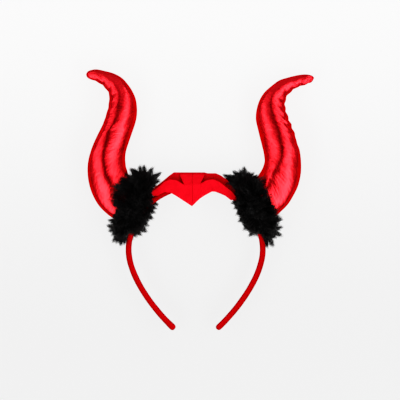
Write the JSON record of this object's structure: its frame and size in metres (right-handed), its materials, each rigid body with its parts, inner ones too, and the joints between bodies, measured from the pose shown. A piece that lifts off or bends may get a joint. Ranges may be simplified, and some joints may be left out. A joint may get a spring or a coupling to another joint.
{
  "type": "devil horns headband",
  "caption": "Rigid wrapped headband with two curved stuffed horns, black fur trims round their feet and a folded felt brow peak on the crown",
  "frame": {"origin": "bottom centre of the bounding box, on the floor that the headband's back lies on", "axes": "+X to the right in the picture, +Y up towards the horn tips, +Z to the front of the headband, up from the floor"},
  "size_m": [0.228, 0.2612, 0.0467],
  "materials": {
    "headband": "red satin ribbon wrapped round a plastic hoop",
    "horn_left": "shiny metallic red fabric, stuffed",
    "horn_right": "shiny metallic red fabric, stuffed",
    "fur_trim_left": "black long-pile fur",
    "fur_trim_right": "black long-pile fur",
    "brow_peak": "matte red felt"
  },
  "bodies": {
    "root": {"headband": "headband", "horn_left": "horn_left", "horn_right": "horn_right", "fur_trim_left": "fur_trim_left", "fur_trim_right": "fur_trim_right", "brow_peak": "brow_peak"}
  },
  "joints": []
}
